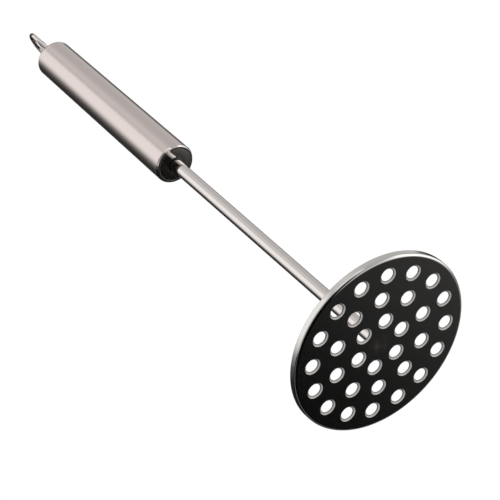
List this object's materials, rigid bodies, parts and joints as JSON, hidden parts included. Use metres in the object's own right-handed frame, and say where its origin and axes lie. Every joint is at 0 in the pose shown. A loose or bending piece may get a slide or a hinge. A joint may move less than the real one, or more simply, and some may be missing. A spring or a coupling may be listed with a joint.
{
  "type": "potato masher",
  "caption": "Steel potato masher: round perforated plate with a turned rim, straight rod, hollow tapered handle and hanging loop.",
  "frame": {"origin": "centre of the flat mashing face, where the masher stands", "axes": "+Z along the rod from the plate to the handle, +X towards one leg of the hanging loop"},
  "size_m": [0.085, 0.085, 0.2983],
  "materials": {
    "polished_plate": "mirror-polished pressed stainless sheet",
    "polished_rod": "drawn and polished stainless wire and rod",
    "polished_cap": "mirror-polished stainless disc",
    "satin_handle": "fine satin stainless tube",
    "weld_metal": "brushed-down stainless weld bead"
  },
  "bodies": {
    "root": {"mashing_plate": "polished_plate", "plate_weld": "weld_metal", "rod": "polished_rod", "rod_weld": "weld_metal", "lower_cap": "polished_cap", "handle_tube": "satin_handle", "upper_cap": "polished_cap", "hanging_loop": "polished_rod", "loop_weld_front": "weld_metal", "loop_weld_back": "weld_metal"}
  },
  "joints": []
}
